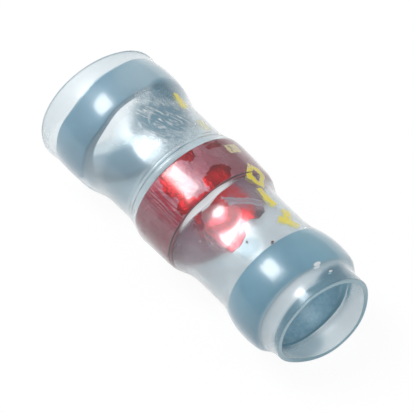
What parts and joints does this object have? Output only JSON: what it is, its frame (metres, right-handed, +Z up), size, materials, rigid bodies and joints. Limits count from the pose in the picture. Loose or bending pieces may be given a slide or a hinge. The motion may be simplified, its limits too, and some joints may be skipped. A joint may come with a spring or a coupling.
{
  "type": "solder seal wire connector",
  "caption": "Short clear heat-shrink sleeve holding a middle solder ring, a flux film and a meltable sealing ring near each end, for joining wires.",
  "frame": {"origin": "on the bore's axis at the middle of the solder ring", "axes": "+X along the bore from the far end to the near end, +Z up as the sleeve lies on its side, +Y across it"},
  "size_m": [0.0171, 0.0066, 0.0059],
  "materials": {
    "clear_sleeve": "clear glossy shrunk tube with fine draw lines",
    "blue_sealant": "soft satin meltable plastic",
    "fluxed_solder": "bright solder under red flux",
    "red_flux": "wet translucent film"
  },
  "bodies": {
    "root": {"sleeve": "clear_sleeve", "left_sealing_ring": "blue_sealant", "right_sealing_ring": "blue_sealant", "solder_ring": "fluxed_solder", "flux_film": "red_flux"}
  },
  "joints": []
}
